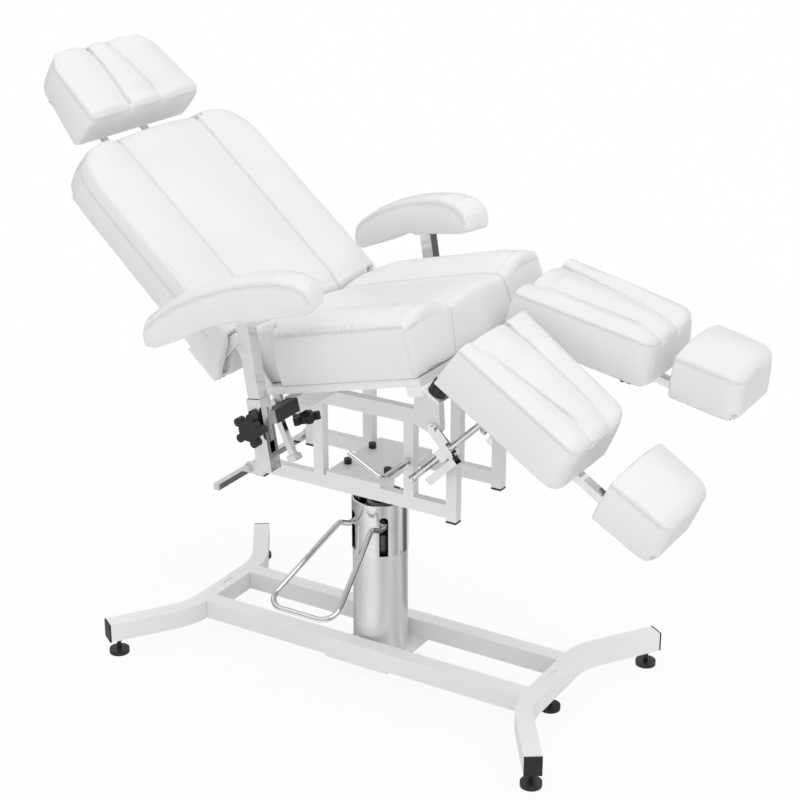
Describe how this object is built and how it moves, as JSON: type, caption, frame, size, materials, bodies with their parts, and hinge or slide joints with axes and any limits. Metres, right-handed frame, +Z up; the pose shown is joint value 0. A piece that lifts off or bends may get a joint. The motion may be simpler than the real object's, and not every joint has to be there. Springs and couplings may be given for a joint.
{
  "type": "podiatry chair",
  "caption": "Podiatry chair with pump column, swivelling frame, reclining back, sliding head cushion, adjustable arm rests and separate tilting, spreading leg rests with foot cushions.",
  "frame": {"origin": "on the floor on the pump column's axis, which is within 10 mm of the middle of the box", "axes": "+X towards the sitter's feet, +Y to the sitter's left, +Z up"},
  "size_m": [1.5824, 0.8942, 1.3421],
  "materials": {
    "white_steel": "white powder coat",
    "chrome": "polished chrome",
    "white_upholstery": "white smooth upholstery",
    "black_plastic": "black moulded plastic",
    "grey_steel": "dark machined steel"
  },
  "bodies": {
    "base": {"base_rails": "white_steel", "front_cross_tube": "white_steel", "rear_cross_tube": "white_steel", "tube_end_caps": "black_plastic", "levelling_feet": "black_plastic", "base_plate": "white_steel", "column_tube": "chrome", "column_shroud": "chrome", "pump_body": "grey_steel"},
    "pedal": {"foot_pedal": "chrome"},
    "lift": {"piston": "chrome"},
    "frame": {"frame_posts": "white_steel", "frame_rails": "white_steel", "frame_gussets": "white_steel", "post_caps": "black_plastic", "strut_links": "chrome", "mounting_plate": "white_steel", "plate_bolts": "black_plastic", "seat_cushion": "white_upholstery", "seat_board": "white_steel", "arm_receiver": "white_steel", "leg_hinge": "white_steel", "back_hinges": "white_steel", "lever_brackets": "white_steel"},
    "brake_lever": {"brake_lever": "chrome"},
    "release_bar": {"release_bar": "chrome"},
    "recline_lever": {"recline_lever": "chrome"},
    "back": {"back_cushion": "white_upholstery", "back_board": "white_steel", "back_arms": "white_steel"},
    "head": {"head_cushion": "white_upholstery", "head_frame": "chrome"},
    "right_arm": {"right_arm_sleeve": "chrome"},
    "right_arm_top": {"right_arm_post": "chrome", "right_arm_pad": "white_upholstery"},
    "right_height_knob": {"right_height_knob": "black_plastic"},
    "right_width_knob": {"right_width_knob": "black_plastic"},
    "left_arm": {"left_arm_sleeve": "chrome"},
    "left_arm_top": {"left_arm_post": "chrome", "left_arm_pad": "white_upholstery"},
    "left_height_knob": {"left_height_knob": "black_plastic"},
    "left_width_knob": {"left_width_knob": "black_plastic"},
    "right_leg": {"right_leg_bracket": "white_steel"},
    "right_leg_rest": {"right_leg_board": "black_plastic", "right_leg_cushion": "white_upholstery"},
    "right_foot": {"right_foot_bar": "chrome", "right_foot_cushion": "white_upholstery"},
    "right_pad_knob": {"right_pad_knob": "black_plastic"},
    "right_clamp": {"right_strut_clamp": "chrome"},
    "right_strut": {"right_strut_rod": "chrome"},
    "right_paddle": {"right_strut_paddle": "chrome"},
    "left_leg": {"left_leg_bracket": "white_steel"},
    "left_leg_rest": {"left_leg_board": "black_plastic", "left_leg_cushion": "white_upholstery"},
    "left_foot": {"left_foot_bar": "chrome", "left_foot_cushion": "white_upholstery"},
    "left_pad_knob": {"left_pad_knob": "black_plastic"},
    "left_clamp": {"left_strut_clamp": "chrome"},
    "left_strut": {"left_strut_rod": "chrome"},
    "left_paddle": {"left_strut_paddle": "chrome"}
  },
  "joints": [
    {"name": "lift_slide", "type": "slide", "parent": "base", "child": "lift", "axis": [0, 0, 1], "range_m": [0, 0.2]},
    {"name": "swivel", "type": "hinge", "parent": "lift", "child": "frame", "pos_m": [0, 0, 0.482], "axis": [0, 0, 1], "continuous": true},
    {"name": "pedal_press", "type": "hinge", "parent": "base", "child": "pedal", "pos_m": [0, -0.041, 0.357], "axis": [1, 0, 0], "range_deg": [0, 18], "stiffness_Nm_per_rad": 6, "springref_deg": -34.38},
    {"name": "brake_turn", "type": "hinge", "parent": "frame", "child": "brake_lever", "pos_m": [0.137, -0.15, 0.56], "axis": [0, 1, 0], "range_deg": [-50, 60]},
    {"name": "release_turn", "type": "hinge", "parent": "frame", "child": "release_bar", "pos_m": [-0.268, 0, 0.458], "axis": [0, 1, 0], "range_deg": [-35, 35]},
    {"name": "recline_pull", "type": "hinge", "parent": "frame", "child": "recline_lever", "pos_m": [-0.07944, -0.283, 0.70386], "axis": [0, -1, 0], "range_deg": [0, 6], "stiffness_Nm_per_rad": 2},
    {"name": "recline", "type": "hinge", "parent": "frame", "child": "back", "pos_m": [-0.18, 0, 0.822], "axis": [0, 1, 0], "range_deg": [-27, 33]},
    {"name": "head_slide", "type": "slide", "parent": "back", "child": "head", "axis": [-0.7501, 0, 0.6613], "range_m": [0, 0.08]},
    {"name": "right_arm_width", "type": "slide", "parent": "frame", "child": "right_arm", "axis": [0, -1, 0], "range_m": [-0.02, 0.05]},
    {"name": "right_arm_height", "type": "slide", "parent": "right_arm", "child": "right_arm_top", "axis": [-0.1564, 0, 0.9877], "range_m": [-0.04, 0.06]},
    {"name": "right_height_knob_turn", "type": "hinge", "parent": "right_arm", "child": "right_height_knob", "pos_m": [-0.0557, -0.39, 0.69284], "axis": [0, -1, 0], "continuous": true},
    {"name": "right_width_knob_turn", "type": "hinge", "parent": "frame", "child": "right_width_knob", "pos_m": [-0.0392, -0.23, 0.6706], "axis": [0.2419, 0, -0.9703], "continuous": true},
    {"name": "left_arm_width", "type": "slide", "parent": "frame", "child": "left_arm", "axis": [0, 1, 0], "range_m": [-0.02, 0.05]},
    {"name": "left_arm_height", "type": "slide", "parent": "left_arm", "child": "left_arm_top", "axis": [-0.1564, 0, 0.9877], "range_m": [-0.04, 0.06]},
    {"name": "left_height_knob_turn", "type": "hinge", "parent": "left_arm", "child": "left_height_knob", "pos_m": [-0.0557, 0.39, 0.69284], "axis": [0, 1, 0], "continuous": true},
    {"name": "left_width_knob_turn", "type": "hinge", "parent": "frame", "child": "left_width_knob", "pos_m": [-0.0392, 0.23, 0.6706], "axis": [0.2419, 0, -0.9703], "continuous": true},
    {"name": "right_leg_tilt", "type": "hinge", "parent": "frame", "child": "right_leg", "pos_m": [0.263, 0, 0.796], "axis": [0, 1, 0], "range_deg": [-46, 27]},
    {"name": "right_leg_spread", "type": "hinge", "parent": "right_leg", "child": "right_leg_rest", "pos_m": [0.29938, -0.265, 0.80834], "axis": [-0.5388, 0, -0.8425], "range_deg": [0, 20]},
    {"name": "right_foot_slide", "type": "slide", "parent": "right_leg_rest", "child": "right_foot", "axis": [0.8425, 0, -0.5388], "range_m": [-0.07, 0.08]},
    {"name": "right_pad_knob_turn", "type": "hinge", "parent": "right_leg_rest", "child": "right_pad_knob", "pos_m": [0.47588, -0.16, 0.66485], "axis": [-0.5388, 0, -0.8425], "continuous": true},
    {"name": "right_clamp_turn", "type": "hinge", "parent": "frame", "child": "right_clamp", "pos_m": [0.235, -0.127, 0.608], "axis": [0, 1, 0], "range_deg": [-10.59, 6.63]},
    {"name": "right_strut_slide", "type": "slide", "parent": "right_clamp", "child": "right_strut", "axis": [0.7154, 0, 0.6987], "range_m": [-0.052, 0.087]},
    {"name": "right_paddle_press", "type": "hinge", "parent": "right_clamp", "child": "right_paddle", "pos_m": [0.25606, -0.127, 0.59502], "axis": [0, 1, 0], "range_deg": [0, 4], "stiffness_Nm_per_rad": 1.5},
    {"name": "left_leg_tilt", "type": "hinge", "parent": "frame", "child": "left_leg", "pos_m": [0.263, 0, 0.796], "axis": [0, 1, 0], "range_deg": [-27, 46]},
    {"name": "left_leg_spread", "type": "hinge", "parent": "left_leg", "child": "left_leg_rest", "pos_m": [0.29334, 0.265, 0.81957], "axis": [0.2334, 0, 0.9724], "range_deg": [0, 20]},
    {"name": "left_foot_slide", "type": "slide", "parent": "left_leg_rest", "child": "left_foot", "axis": [0.9724, 0, -0.2334], "range_m": [-0.04, 0.11]},
    {"name": "left_pad_knob_turn", "type": "hinge", "parent": "left_leg_rest", "child": "left_pad_knob", "pos_m": [0.50707, 0.16, 0.74172], "axis": [-0.2334, 0, -0.9724], "continuous": true},
    {"name": "left_clamp_turn", "type": "hinge", "parent": "frame", "child": "left_clamp", "pos_m": [0.235, 0.127, 0.608], "axis": [0, 1, 0], "range_deg": [-5.56, 8.76]},
    {"name": "left_strut_slide", "type": "slide", "parent": "left_clamp", "child": "left_strut", "axis": [0.6647, 0, 0.7471], "range_m": [-0.084, 0.05]},
    {"name": "left_paddle_press", "type": "hinge", "parent": "left_clamp", "child": "left_paddle", "pos_m": [0.25692, 0.127, 0.59653], "axis": [0, 1, 0], "range_deg": [0, 4], "stiffness_Nm_per_rad": 1.5}
  ],
  "couplings": [
    {"joint": "right_clamp_turn", "follows": "right_leg_tilt", "ratio": 0.20842},
    {"joint": "right_strut_slide", "follows": "right_leg_tilt", "m_per_rad": -0.10651},
    {"joint": "left_clamp_turn", "follows": "left_leg_tilt", "ratio": 0.16872},
    {"joint": "left_strut_slide", "follows": "left_leg_tilt", "m_per_rad": -0.10313}
  ]
}
